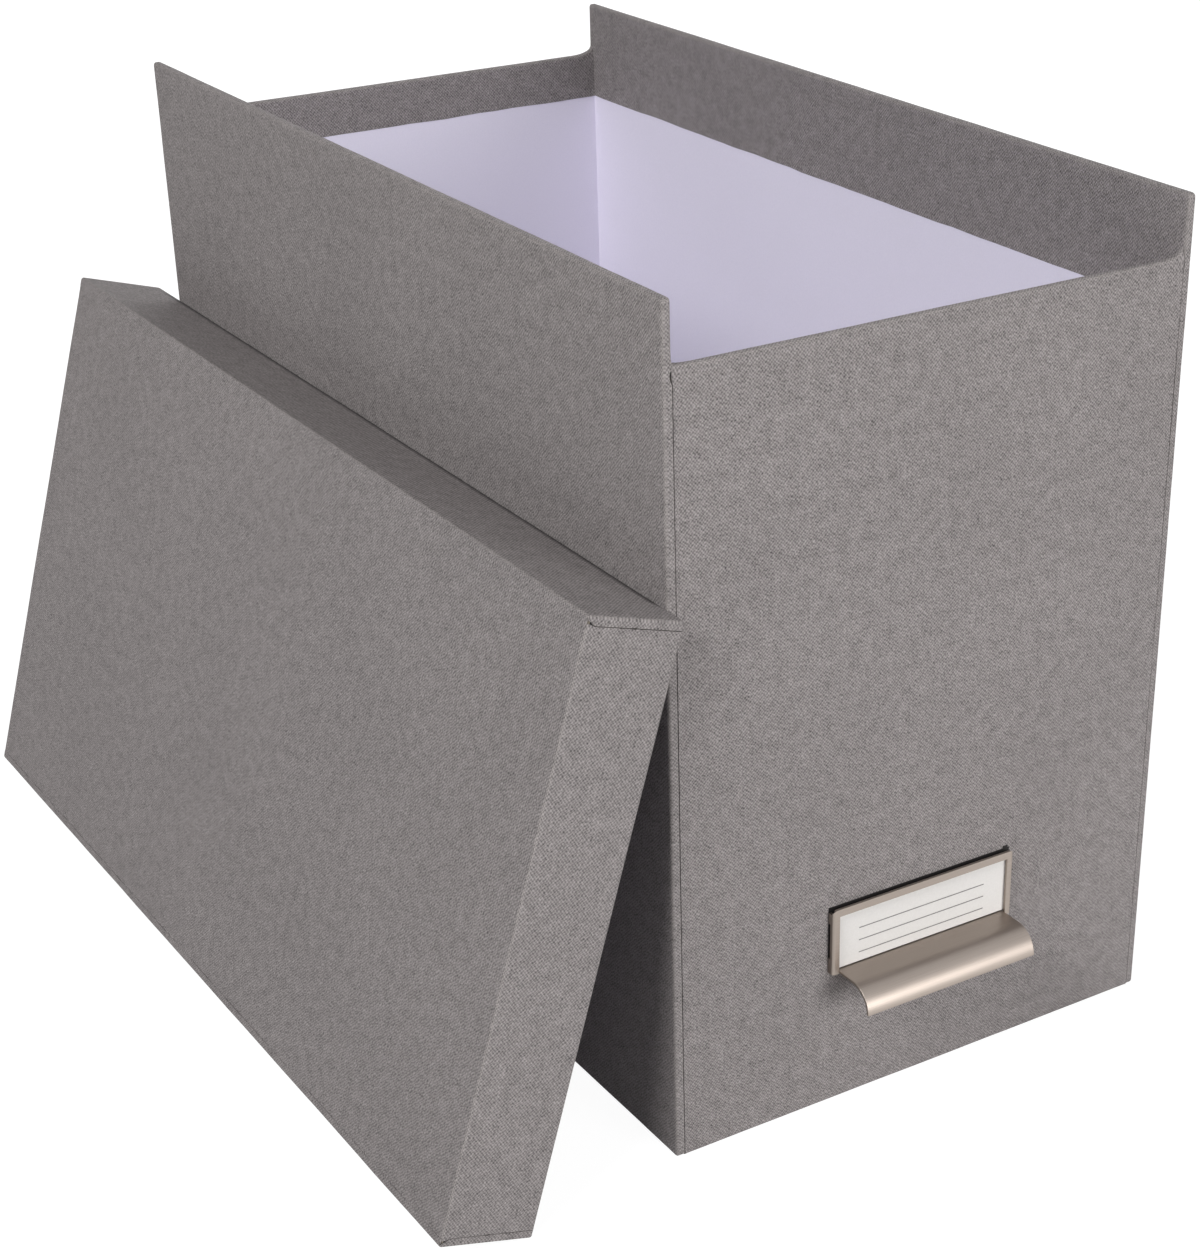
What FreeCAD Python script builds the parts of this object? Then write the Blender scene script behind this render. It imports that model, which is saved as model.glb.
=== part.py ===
"""Archival box: a tall covered-board tray, its lift-off lid leaning on the left wall, and a
metal label holder with a finger pull on the front.

Frame: X across the box, Y along it with the label holder on the -Y end, +Z up, and the
origin at the centre of the tray's underside. All sizes are millimetres and degrees.
"""
import FreeCAD, Part
import math
import os
import re
import Sketcher

SIZES = {
    # the tray
    "box_width": 176.0,        # outside, across X
    "box_length": 331.0,       # outside, along Y
    "end_height": 242.0,       # floor to the top of the front and back walls
    "ear_rise": 18.0,          # how far the long walls stand above the end walls
    "tray_turn_in": 14.5,      # cover turned down inside, below the end walls' top
    "under_flap": 15.0,        # cover turned under the tray
    "base_inset": 3.0,         # base sheet, in from the tray's outline
    # the lid
    "lid_side_gap": 1.7,       # air between the tray's long walls and the lid's rims
    "lid_end_gap": 10.4,       # air past the end walls, for the hooks of hanging folders
    "lid_depth": 30.2,         # outside, panel to open edge
    "lid_turn_in": 12.0,       # cover turned up inside the rims
    "lid_tilt": 17.0,          # lean from upright
    "lid_shift": 4.0,          # along the box, from centre to centre
    "lean_gap": 0.3,           # air between the leaning lid and the wall
    # board, paper and tape
    "board_thick": 2.2,
    "cover_thick": 0.3,
    "lining_thick": 0.3,
    "stay_thick": 0.1,         # paper tape round the board corners
    "stay_reach": 15.0,
    "stay_end_gap": 2.0,       # from the tape's ends to the board's ends
    "board_round": 1.0,        # worn-in radius of the board's outer edges
    # the label holder and its card
    "holder_width": 67.0,
    "holder_height": 21.9,
    "holder_bottom": 46.3,     # height of its lower edge
    "holder_offset": -1.0,     # from the middle of the front wall
    "holder_depth": 2.6,       # face, out from the wall
    "holder_sheet": 0.9,       # metal thickness
    "flange_gap": 1.0,         # air behind the side flanges
    "strip_width": 2.4,        # face strips round the card
    "holder_round": 0.7,
    "pull_reach": 17.5,        # out from the wall
    "pull_bend": 8.0,          # outside radius of the finger curl
    "shoulder_height": 5.0,
    "prong_height": 3.0,
    "prong_inset": 0.9,        # from the holder's top and bottom
    "clinch_length": 5.0,
    "card_thick": 0.4,
    "card_gap": 0.3,           # round the card
}

# Sizes that follow from the ones above.
DERIVED = {
    "wall_thick": "(board_thick + 2 * cover_thick)",
    "skinned_board": "(board_thick + cover_thick)",
    "edge_round": "(board_round + cover_thick)",
    "ear_height": "(end_height + ear_rise)",
    "tray_band": "(end_height - tray_turn_in)",
    "lid_width": "(box_width + 2 * lid_side_gap + 2 * wall_thick)",
    "lid_length": "(box_length + 2 * lid_end_gap + 2 * wall_thick)",
    "lid_band": "(lid_depth - lid_turn_in)",
    "round_drop": "(edge_round * (sin(lid_tilt) + cos(lid_tilt) - 1))",
    "lid_x": "(round_drop - box_width / 2 - lean_gap - lid_width / 2 * sin(lid_tilt)"
             " - lid_depth * cos(lid_tilt))",
    "lid_z": "(lid_width / 2 * cos(lid_tilt) + lid_depth * sin(lid_tilt) - round_drop)",
}

# A Part::Box numbers its edges by the two faces that each one joins.
BOX_EDGES = {
    "left front": 1, "left top": 2, "left back": 3, "left bottom": 4,
    "right front": 5, "right top": 6, "right back": 7, "right bottom": 8,
    "front bottom": 9, "front top": 10, "back bottom": 11, "back top": 12,
}
OPPOSITE = {"left": "right", "right": "left", "front": "back", "back": "front"}

doc = FreeCAD.newDocument("ArchivalBox")
sheet = doc.addObject("Spreadsheet::Sheet", "Sizes")
for row, (size_name, size_value) in enumerate(SIZES.items(), start=1):
    sheet.set(f"A{row}", size_name)
    sheet.set(f"B{row}", str(size_value))
    sheet.setAlias(f"B{row}", size_name)
doc.recompute()

subparts = []


def sized(formula):
    """Write a formula of size names as an expression on the spreadsheet."""
    def swap(match):
        word = match.group(0)
        if word in DERIVED:
            return sized(DERIVED[word])
        return "Sizes." + word if word in SIZES else word
    return re.sub(r"[a-z]+(?:_[a-z]+)*", swap, formula)


def keep(thing, label):
    """Name a finished sub-part and list it for export."""
    thing.Label = label
    subparts.append(thing)
    return thing


def bind_place(thing, x, y, z):
    """Tie an object's position to formulas of sizes."""
    for axis, formula in (("x", x), ("y", y), ("z", z)):
        thing.setExpression(f"Placement.Base.{axis}", sized(formula))


def tray_place(box, x, y, z):
    bind_place(box, x, y, z)


def lid_place(box, x, y, z):
    """Put a box of the lid where it lies on the leaning lid.

    The lid's own frame has its origin at the middle of the panel's outer face, X down the
    slope, Y along the box and Z out of the panel towards the open side.
    """
    box.Placement = FreeCAD.Placement(FreeCAD.Vector(), FreeCAD.Rotation(FreeCAD.Vector(0, 1, 0), 90))
    box.setExpression("Placement.Rotation.Angle", sized("lid_tilt + 90"))
    bind_place(box,
               f"lid_x - ({x}) * sin(lid_tilt) + ({z}) * cos(lid_tilt)",
               f"lid_shift + ({y})",
               f"lid_z - ({x}) * cos(lid_tilt) - ({z}) * sin(lid_tilt)")


def block(name, place, x, y, z):
    """A box between two formulas along each axis of its own frame."""
    box = doc.addObject("Part::Box", name)
    for side, (low, high) in (("Length", x), ("Width", y), ("Height", z)):
        box.setExpression(side, sized(f"({high}) - ({low})"))
    place(box, x[0], y[0], z[0])
    return box


def rounded(name, box, edges, radius):
    """The same box with some of its edges rounded."""
    fillet = doc.addObject("Part::Fillet", name)
    fillet.Base = box
    fillet.Edges = [(BOX_EDGES[edge], radius, radius) for edge in edges]
    return fillet


def joined(name, pieces):
    if len(pieces) == 1:
        return pieces[0]
    fuse = doc.addObject("Part::MultiFuse", name)
    fuse.Shapes = pieces
    return fuse


def less(name, base, tools):
    """What is left of a solid when others are taken out of it."""
    cut = doc.addObject("Part::Cut", name)
    cut.Base = base
    cut.Tool = joined(f"{name}_tools", tools)
    return cut


def side_edges(outer):
    """Edges that are rounded on a long wall, which shows its ends at the corners."""
    return [f"{outer} front", f"{outer} back", f"{outer} bottom", f"{outer} top",
            f"{OPPOSITE[outer]} top", "front top", "back top", "front bottom", "back bottom"]


def end_edges(outer):
    """Edges that are rounded on an end wall, which stands between the long walls."""
    return [f"{outer} bottom", f"{outer} top", f"{OPPOSITE[outer]} top"]


def mirrored(span, is_far):
    """The same span on the other side of the middle."""
    low, high = span
    return (f"0 - ({high})", f"0 - ({low})") if is_far else (low, high)


class CoveredBox:
    """Boards, covers, linings and corner tapes of one open box, in that box's own frame.

    The long walls run the full length and the end walls stand between them. Z rises from
    the outer face of the floor to the open edges.
    """

    def __init__(self, prefix, place, width, length, side_height, end_height, band, side_names,
                 floor_name, under):
        self.prefix = prefix
        self.place = place
        self.half_width = f"({width} / 2)"
        self.half_length = f"({length} / 2)"
        self.side_height = side_height
        self.end_height = end_height
        self.band = band
        self.side_names = side_names
        self.floor_name = floor_name
        self.under = under                          # sheet below the boards, besides the cover
        self.board_base = f"({under} + cover_thick)"
        self.floor_top = f"({under} + cover_thick + board_thick)"

    def block(self, name, x, y, z):
        return block(f"{self.prefix}_{name}", self.place, x, y, z)

    def from_side(self, near, far):
        """Span between two depths measured in from the left wall's outer face."""
        return (f"{near} - {self.half_width}", f"{far} - {self.half_width}")

    def from_end(self, near, far):
        """Span between two depths measured in from the front wall's outer face."""
        return (f"{near} - {self.half_length}", f"{far} - {self.half_length}")

    def across(self, inset):
        return (f"{inset} - {self.half_width}", f"{self.half_width} - ({inset})")

    def along(self, inset):
        return (f"{inset} - {self.half_length}", f"{self.half_length} - ({inset})")

    def build_boards(self):
        radius = SIZES["board_round"]
        self.boards = {}
        for outer in ("left", "right"):
            span = mirrored(self.from_side("cover_thick", "skinned_board"), outer == "right")
            raw = self.block(f"{outer}_board_blank", span, self.along("cover_thick"),
                             (self.board_base, f"{self.side_height} - cover_thick"))
            self.boards[outer] = rounded(f"{self.prefix}_{outer}_soft", raw, side_edges(outer), radius)
        for outer in ("front", "back"):
            span = mirrored(self.from_end("cover_thick", "skinned_board"), outer == "back")
            raw = self.block(f"{outer}_board_blank", self.across("skinned_board"), span,
                             (self.board_base, f"{self.end_height} - cover_thick"))
            self.boards[outer] = rounded(f"{self.prefix}_{outer}_soft", raw, end_edges(outer), radius)
        self.boards["floor"] = self.block("floor_board", self.across("skinned_board"),
                                          self.along("skinned_board"), (self.board_base, self.floor_top))

    def build_stays(self):
        """Paper tape folded round each upright corner of the boards."""
        self.stays = {}
        radius = SIZES["board_round"] + SIZES["stay_thick"]
        outside, reach = "(cover_thick - stay_thick)", "(cover_thick + stay_reach)"
        height = (f"{self.board_base} + stay_end_gap", f"{self.end_height} - cover_thick - stay_end_gap")
        for end in ("front", "back"):
            for side in ("left", "right"):
                corner = f"{end}_{side}"
                x = mirrored(self.from_side(outside, reach), side == "right")
                y = mirrored(self.from_end(outside, reach), end == "back")
                raw = self.block(f"{corner}_tape_blank", x, y, height)
                wrap = rounded(f"{self.prefix}_{corner}_tape_bend", raw, [f"{side} {end}"], radius)
                past_reach = ("skinned_board", "skinned_board + stay_reach")
                inside = self.block(f"{corner}_tape_inside",
                                    mirrored(self.from_side(*past_reach), side == "right"),
                                    mirrored(self.from_end(*past_reach), end == "back"), height)
                self.stays[end, side] = less(f"{self.prefix}_{corner}_stay", wrap,
                                             [self.boards[side], self.boards[end], inside])

    def build_side_cover(self, outer, flap):
        """Sheet over a long wall: round both ends, over the top and down inside to the band."""
        far = outer == "right"
        radius = SIZES["board_round"] + SIZES["cover_thick"]
        raw = self.block(f"{outer}_cover_blank", mirrored(self.from_side("0", "wall_thick"), far),
                         self.along("0"), (self.under, self.side_height))
        body = rounded(f"{self.prefix}_{outer}_cover_body", raw, side_edges(outer), radius)
        if flap:
            body = joined(f"{self.prefix}_{outer}_cover_sheet", [body, self.block(
                f"{outer}_cover_flap", mirrored(self.from_side("skinned_board", "under_flap"), far),
                self.along("wall_thick"), (self.under, self.board_base))])
        inner = mirrored(self.from_side("skinned_board", "wall_thick + lining_thick"), far)
        tools = [self.boards[outer], self.stays["front", outer], self.stays["back", outer],
                 self.block(f"{outer}_cover_below_band", inner, self.along("wall_thick"),
                            (self.board_base, self.band))]
        for end in ("front", "back"):
            past_end = mirrored(self.from_end("cover_thick", "wall_thick"), end == "back")
            tools.append(self.block(f"{outer}_cover_clear_of_{end}", inner, past_end,
                                    (self.under, f"{self.end_height} - cover_thick")))
        return less(f"{self.prefix}_{outer}_cover", body, tools)

    def build_end_cover(self, outer, flap, extra_tools):
        """Sheet over an end wall, between the long walls' covers."""
        far = outer == "back"
        radius = SIZES["board_round"] + SIZES["cover_thick"]
        raw = self.block(f"{outer}_cover_blank", self.across("wall_thick"),
                         mirrored(self.from_end("0", "wall_thick"), far), (self.under, self.end_height))
        body = rounded(f"{self.prefix}_{outer}_cover_body", raw, end_edges(outer), radius)
        inner = mirrored(self.from_end("skinned_board", "wall_thick + lining_thick"), far)
        if flap:
            body = joined(f"{self.prefix}_{outer}_cover_sheet", [body, self.block(
                f"{outer}_cover_flap", self.across("under_flap"),
                mirrored(self.from_end("skinned_board", "under_flap"), far),
                (self.under, self.board_base))])
        tools = [self.boards[outer], self.stays[outer, "left"], self.stays[outer, "right"],
                 self.block(f"{outer}_cover_below_band", self.across("0"), inner,
                            (self.board_base, self.band))]
        return less(f"{self.prefix}_{outer}_cover", body, tools + extra_tools)

    def build_linings(self):
        """White sheets inside, from the floor up to the covers' turned-in band."""
        height = (self.floor_top, self.band)
        thick = ("skinned_board", "skinned_board + lining_thick")
        self.linings = {"floor": self.block("floor_lining", self.across("skinned_board + lining_thick"),
                                            self.along("skinned_board + lining_thick"),
                                            (self.floor_top, f"{self.floor_top} + lining_thick"))}
        for outer in ("left", "right"):
            span = mirrored(self.from_side(*thick), outer == "right")
            self.linings[outer] = self.block(f"{outer}_lining", span, self.along("skinned_board"), height)
        for outer in ("front", "back"):
            span = mirrored(self.from_end(*thick), outer == "back")
            self.linings[outer] = self.block(f"{outer}_lining",
                                             self.across("skinned_board + lining_thick"), span, height)

    def name_of(self, key):
        words = {"floor": self.floor_name, **dict(zip(("left", "right"), self.side_names))}
        return words.get(key, key)

    def keep_all(self, covers):
        for kind, pieces in (("board", self.boards), ("cover", covers), ("lining", self.linings)):
            for key, piece in pieces.items():
                keep(piece, f"{self.prefix}_{self.name_of(key)}_{kind}")
        for (end, side), piece in self.stays.items():
            keep(piece, f"{self.prefix}_{end}_{self.name_of(side)}_stay")


def prong_spans():
    """The four prongs of the label holder, as X and Z spans in the holder's own frame."""
    outer_side = ("holder_width / 2 - holder_sheet", "holder_width / 2")
    low = ("prong_inset", "prong_inset + prong_height")
    high = ("holder_height - prong_inset - prong_height", "holder_height - prong_inset")
    return {(side, level): (mirrored(outer_side, side == "left"), span)
            for side in ("left", "right") for level, span in (("lower", low), ("upper", high))}


def clinch_span(side):
    """A prong's bent tip, from the prong towards the middle of the holder."""
    return mirrored(("holder_width / 2 - holder_sheet - clinch_length", "holder_width / 2"), side == "left")


def holder_spans_on_box(x, z):
    return ((f"holder_offset + ({x[0]})", f"holder_offset + ({x[1]})"),
            (f"holder_bottom + ({z[0]})", f"holder_bottom + ({z[1]})"))


def prong_slots():
    """Solids that clear the front cover and board for the prongs and their bent tips."""
    slots = []
    face = "0 - box_length / 2"
    for (side, level), (x, z) in prong_spans().items():
        slot_x, slot_z = holder_spans_on_box(x, z)
        tip_x, _ = holder_spans_on_box(clinch_span(side), z)
        slots.append(block(f"slot_{side}_{level}", tray_place, slot_x,
                           (f"{face} - flange_gap", f"{face} + skinned_board"), slot_z))
        slots.append(block(f"slot_tip_{side}_{level}", tray_place, tip_x,
                           (f"{face} + skinned_board - holder_sheet", f"{face} + skinned_board"), slot_z))
    return joined("prong_slots", slots)


def box_feature(body, kind, name, x, y, z):
    """A box added to, or taken from, a body in the body's own frame."""
    feature = body.newObject(f"PartDesign::{kind}Box", name)
    for side, (low, high) in (("Length", x), ("Width", y), ("Height", z)):
        feature.setExpression(side, sized(f"({high}) - ({low})"))
    bind_place(feature, x[0], y[0], z[0])
    return feature


def origin_plane(body, role):
    return next(item for item in body.Origin.OriginFeatures if item.Role == role)


def pull_sketch(body):
    """Section of the finger pull: a flat ledge, then a quarter bend down to its free edge."""
    reach, bend = SIZES["pull_reach"], SIZES["pull_bend"]
    metal, root = SIZES["holder_sheet"], SIZES["flange_gap"]
    sketch = body.newObject("Sketcher::SketchObject", "pull_section")
    sketch.AttachmentSupport = (origin_plane(body, "YZ_Plane"), "")
    sketch.MapMode = "FlatFace"
    sketch.setExpression("AttachmentOffset.Base.z", sized("strip_width - holder_width / 2"))

    def point(out, up):
        return FreeCAD.Vector(-out, up, 0)

    centre = point(reach - bend, metal - bend)
    half_turn, quarter_turn = math.radians(180), math.radians(90)
    upward = FreeCAD.Vector(0, 0, 1)
    top, outer, tip, inner, under, back = range(6)
    sketch.addGeometry([
        Part.LineSegment(point(root, metal), point(reach - bend, metal)),
        Part.ArcOfCircle(Part.Circle(centre, upward, bend), quarter_turn, half_turn),
        Part.LineSegment(point(reach, metal - bend), point(reach - metal, metal - bend)),
        Part.ArcOfCircle(Part.Circle(centre, upward, bend - metal), quarter_turn, half_turn),
        Part.LineSegment(point(reach - bend, 0), point(root, 0)),
        Part.LineSegment(point(root, 0), point(root, metal)),
    ])
    start, end, middle, x_axis = 1, 2, 3, -1
    sketch.addConstraint([
        Sketcher.Constraint("Coincident", top, end, outer, start),
        Sketcher.Constraint("Coincident", outer, end, tip, start),
        Sketcher.Constraint("Coincident", tip, end, inner, end),
        Sketcher.Constraint("Coincident", inner, start, under, start),
        Sketcher.Constraint("Coincident", under, end, back, start),
        Sketcher.Constraint("Coincident", back, end, top, start),
        Sketcher.Constraint("Coincident", outer, middle, inner, middle),
        Sketcher.Constraint("Horizontal", top),
        Sketcher.Constraint("Horizontal", tip),
        Sketcher.Constraint("Vertical", back),
        Sketcher.Constraint("Vertical", outer, middle, outer, start),
        Sketcher.Constraint("Vertical", inner, middle, inner, start),
        Sketcher.Constraint("Horizontal", outer, middle, outer, end),
        Sketcher.Constraint("PointOnObject", under, end, x_axis),
    ])
    for name, kind, where, value, formula in (
            ("bend", "Radius", (outer,), bend, "pull_bend"),
            ("metal", "DistanceY", (back, start, back, end), metal, "holder_sheet"),
            ("reach", "DistanceX", (outer, end, x_axis, start), reach, "pull_reach"),
            ("root", "DistanceX", (under, end, x_axis, start), root, "flange_gap")):
        index = sketch.addConstraint(Sketcher.Constraint(kind, *where, value))
        sketch.renameConstraint(index, name)
        sketch.setExpression(f"Constraints.{name}", sized(formula))
    sketch.addConstraint(Sketcher.Constraint("Horizontal", under))
    return sketch


def front_edges(shape):
    """Names of the edges round a block's front face, apart from the one along its bottom."""
    bounds = shape.BoundBox
    names = []
    for number, edge in enumerate(shape.Edges, start=1):
        box = edge.BoundBox
        on_front = box.YMax < bounds.YMin + 1e-6
        on_bottom = box.ZMax < bounds.ZMin + 1e-6
        top_corner = box.ZMin > bounds.ZMax - 1e-6 and box.XLength < 1e-6
        if (on_front and not on_bottom) or top_corner:
            names.append(f"Edge{number}")
    return names


def build_label_holder():
    """One pressed piece: face strips, side flanges, finger pull and clinched prongs.

    Its own frame has its origin on the wall's face at the middle of its lower edge, with
    the holder on the -Y side. The frame is open behind the top strip for the card.
    """
    body = doc.addObject("PartDesign::Body", "label_holder")
    bind_place(body, "holder_offset", "0 - box_length / 2", "holder_bottom")
    half, face, back = "holder_width / 2", "0 - holder_depth", "0 - flange_gap"
    frame = box_feature(body, "Additive", "holder_block", (f"0 - {half}", half), (face, back),
                        ("0", "holder_height"))
    doc.recompute()
    soft = body.newObject("PartDesign::Fillet", "holder_soft_edges")
    soft.Base = (frame, front_edges(frame.Shape))
    soft.setExpression("Radius", sized("holder_round"))
    doc.recompute()
    box_feature(body, "Subtractive", "card_space",
                (f"holder_sheet - {half}", f"{half} - holder_sheet"),
                (f"{face} + holder_sheet", "0"), ("holder_sheet", "holder_height + holder_sheet"))
    box_feature(body, "Subtractive", "card_window",
                (f"strip_width - {half}", f"{half} - strip_width"),
                (f"{face} - holder_sheet", "0"), ("holder_sheet", "holder_height - strip_width"))
    sketch = pull_sketch(body)
    pull = body.newObject("PartDesign::Pad", "finger_pull")
    pull.Profile = sketch
    pull.setExpression("Length", sized("holder_width - 2 * strip_width"))
    for (side, level), (x, z) in prong_spans().items():
        tag = f"{side}_{level}"
        shoulder = ("0", "shoulder_height") if level == "lower" else (
            "holder_height - shoulder_height", "holder_height - prong_inset")
        box_feature(body, "Additive", f"shoulder_{tag}", x, (back, "0"), shoulder)
        box_feature(body, "Additive", f"prong_{tag}", x, (back, "skinned_board"), z)
        box_feature(body, "Additive", f"clinch_{tag}", clinch_span(side),
                    ("skinned_board - holder_sheet", "skinned_board"), z)
    return keep(body, "label_holder")


def build_label_card():
    """Card that stands on the pull's ledge behind the strips and slides out upwards."""
    half = "(holder_width / 2 - holder_sheet - card_gap)"
    front = "(0 - box_length / 2 - holder_depth + holder_sheet + card_gap)"
    card = block("label_card", tray_place, (f"holder_offset - {half}", f"holder_offset + {half}"),
                 (front, f"{front} + card_thick"),
                 ("holder_bottom + holder_sheet + card_gap",
                  "holder_bottom + holder_height - holder_sheet - card_gap"))
    return keep(card, "label_card")


def build_tray():
    tray = CoveredBox("tray", tray_place, "box_width", "box_length", "ear_height", "end_height",
                      "tray_band", ("left", "right"), "floor", "cover_thick")
    tray.build_boards()
    slots = prong_slots()
    plain_front = tray.boards["front"]
    tray.build_stays()
    tray.build_linings()
    covers = {outer: tray.build_side_cover(outer, True) for outer in ("left", "right")}
    covers["front"] = tray.build_end_cover("front", True, [slots])
    covers["back"] = tray.build_end_cover("back", True, [])
    covers["base"] = tray.block("base_cover", tray.across("base_inset"), tray.along("base_inset"),
                                ("0", "cover_thick"))
    tray.boards["front"] = less("tray_front_slotted", plain_front, [slots])
    tray.keep_all(covers)


def build_lid():
    lid = CoveredBox("lid", lid_place, "lid_width", "lid_length", "lid_depth", "lid_depth",
                     "lid_band", ("upper", "lower"), "panel", "0")
    lid.build_boards()
    lid.build_stays()
    lid.build_linings()
    covers = {outer: lid.build_side_cover(outer, False) for outer in ("left", "right")}
    for outer in ("front", "back"):
        covers[outer] = lid.build_end_cover(outer, False, [])
    covers["floor"] = lid.block("panel_cover", lid.across("wall_thick"), lid.along("wall_thick"),
                                ("0", "cover_thick"))
    lid.keep_all(covers)


build_tray()
build_lid()
build_label_holder()
build_label_card()
doc.recompute()

for thing in doc.Objects:
    if "Invalid" in thing.State or "Error" in thing.State:
        raise RuntimeError(f"{thing.Name} did not build: {thing.State}")
for thing in subparts:
    if thing.Shape.isNull() or not thing.Shape.isValid():
        raise RuntimeError(f"{thing.Label} has no valid shape")

os.makedirs("parts", exist_ok=True)
for thing in subparts:
    thing.Shape.exportStep(f"parts/{thing.Label}.step")
    print(f"{thing.Label}: {len(thing.Shape.Solids)} solid, {thing.Shape.Volume / 1000:.2f} cm3")
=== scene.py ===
"""Archival box in grey book cloth, with its lid leaning on the left wall and a card in a metal
label holder on the front.

Each sheet of cloth or paper is laid out flat, pressed over the boards with rounded folds, and
then given its thickness. The boards and corner tapes are the carried-over solids.
Everything is in metres.
"""
import math

import bpy
from mathutils import Matrix, Vector, noise


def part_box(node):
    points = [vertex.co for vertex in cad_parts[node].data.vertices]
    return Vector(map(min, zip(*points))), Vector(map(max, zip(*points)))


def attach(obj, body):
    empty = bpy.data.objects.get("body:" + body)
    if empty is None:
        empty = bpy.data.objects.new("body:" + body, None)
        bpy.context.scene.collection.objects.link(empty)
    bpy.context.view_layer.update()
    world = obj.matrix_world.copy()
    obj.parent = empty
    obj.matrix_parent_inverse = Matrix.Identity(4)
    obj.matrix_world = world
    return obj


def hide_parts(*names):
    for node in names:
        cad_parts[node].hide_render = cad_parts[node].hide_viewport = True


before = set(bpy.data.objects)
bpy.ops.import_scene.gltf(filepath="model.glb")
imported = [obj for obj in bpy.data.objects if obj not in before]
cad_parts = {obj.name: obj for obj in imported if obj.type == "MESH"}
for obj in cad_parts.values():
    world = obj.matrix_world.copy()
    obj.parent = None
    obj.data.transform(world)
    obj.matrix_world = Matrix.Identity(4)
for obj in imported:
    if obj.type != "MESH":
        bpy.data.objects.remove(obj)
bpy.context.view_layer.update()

MM = 0.001
BEND_STEPS = 4             # cells over half of a rounded fold
CELL = 7 * MM              # cells over flat cloth
SEAM_CELL = 0.4 * MM       # cells where a seam strays
PULL_CELL = 4 * MM         # cells along the label holder

# Folds of the cloth over the boards: radius across the wall, along it and up.
TRAY_FOLD = (0.85 * MM, 1.3 * MM, 1.3 * MM)
END_FOLD = (0.85 * MM, 0.85 * MM, 0.85 * MM)
CORNER_BLEND = 1.5 * MM    # an inner fold grows round over this length from an end wall
EAR_BLEND = 3 * MM         # and over this height above one
FOLD_RUB = 1.6             # how soon a corner counts as fully folded

# Unevenness of the pasted sheets.
RIPPLE = 0.09 * MM         # of a covered wall
PAPER_RIPPLE = 0.05 * MM   # of a lining
SLOW_WAVES = 28            # per metre
QUICK_WAVES = 75           # per metre

# Upright seams beside the end walls.
SEAM_GAP = 0.26 * MM
SEAM_LIP = 0.1 * MM        # how far the end wall's cloth stands proud by the seam
LIP_WIDTH = 1.1 * MM
SEAM_REACH = 1.6 * MM      # width of cloth that follows a straying seam
# Painted shade: depth of the dark sheet that darkens the seam gaps.
SEAM_SHADE_DEPTH = 0.26 * MM     # under the cloth's face

# Puckered cloth that stands up between an end wall's top and an ear.
GUSSET_WIDTH = 8 * MM
GUSSET_RISE = 2.8 * MM
GUSSET_DEPTH = 4 * MM      # below the top, where it begins
GUSSET_PINCH = 0.5         # how far it closes towards the middle of the wall
GUSSET_TIGHT = 0.35        # share of its rise at the corner that is pulled tight
NEAR_EAR = (0, 0.35, 0.7, 1.1, 1.6, 2.2, 3, 4, 5.2, 6.6, 8)    # rows of cells, mm from an ear

# The seam's nick below an ear.
EAR_NICK = {
    "depth": 5.2 * MM,     # its lower end, below the end wall's top
    "fade_in": 1.8 * MM,
    "fade_out": 2.6 * MM,
    "stray": 0.7 * MM,     # towards the corner
    "gape": 0.6 * MM,      # wider than the seam's gap
    "elsewhere": 0.2,      # share of it at the other corners
}

# The lid's seam has a nick at the panel and a small tick halfway up.
LID_NICK = {
    "height": 3.2 * MM,
    "stray": 1.3 * MM,
    "gape": 1.2 * MM,
    "tick": 0.9 * MM,      # half its height
    "tick_gape": 0.35 * MM,
}

# Painted shade on the lid's mouth edge, where it touches the tray's wall: the cloth is darkened there to
# stand in for the contact shadow.
PAINTED_CONTACT_SHADE = {
    "depth": 2.3 * MM,     # from the mouth
    "fade": 0.9 * MM,
    "from_end": 8 * MM,    # none nearer than this to the lid's ends
    "end_fade": 5 * MM,
    "rub_fade": 2.5 * MM,  # the folds' rubbing fades out towards the mouth over this
}

# Lower edge of the turned-in cloth.
BAND_LAP = 0.8 * MM        # down over the lining
BAND_STEP = 0.12 * MM      # in from the wall, on top of the lining
BAND_WANDER = 0.35 * MM
BAND_DROP = 0.2 * MM


# ------------ places from the model

def slope_of(node):
    """How far a leaning flat node is from upright, from its largest face."""
    normal = max(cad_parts[node].data.polygons, key=lambda face: face.area).normal
    return math.atan2(abs(normal.z), abs(normal.x))


def lid_frame():
    """Matrix from the lid's own frame: X down the slope, Y along, Z from the panel to the open side."""
    lean = slope_of("lid_panel_board")
    down = Vector((-math.sin(lean), 0, -math.cos(lean)))
    inward = Vector((math.cos(lean), 0, -math.sin(lean)))
    low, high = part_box("lid_panel_board")
    thick = box_height("tray_floor_board")
    origin = (low + high) / 2 - inward * (thick / 2 + CLOTH)
    return Matrix((
        (down.x, 0, inward.x, origin.x), (0, 1, 0, origin.y), (down.z, 0, inward.z, origin.z), (0, 0, 0, 1)))


def box_height(node):
    """Height of a node's box, which is the thickness of a sheet that lies flat."""
    low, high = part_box(node)
    return high.z - low.z


def box_in(place, node):
    """Lowest and highest corners of a node in another frame."""
    back = place.inverted()
    points = [back @ v.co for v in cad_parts[node].data.vertices]
    return [Vector([pick(p[i] for p in points) for i in range(3)]) for pick in (min, max)]


CLOTH = box_height("tray_base_cover")
TRAY = Matrix.Identity(4)
LID = lid_frame()


# ------------ laying out sheets

def fold_stops(start, reach, inward):
    """Stops that turn a fold in equal steps, from an outer edge at start, over its rounded zone."""
    steps = [math.tan(math.pi / 4 * k / BEND_STEPS) for k in range(BEND_STEPS + 1)]
    return [start + inward * reach * (1 - t) for t in steps]


def even_stops(low, high, step=CELL):
    """Stops from low to high in equal steps of about the given size."""
    count = max(1, round((high - low) / step))
    return [low + (high - low) * k / count for k in range(count + 1)]


def stops(*lists):
    """One rising list of stops without repeats."""
    found = []
    for value in sorted(v for values in lists for v in values):
        if not found or value - found[-1] > 1e-6:
            found.append(value)
    return found


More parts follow.
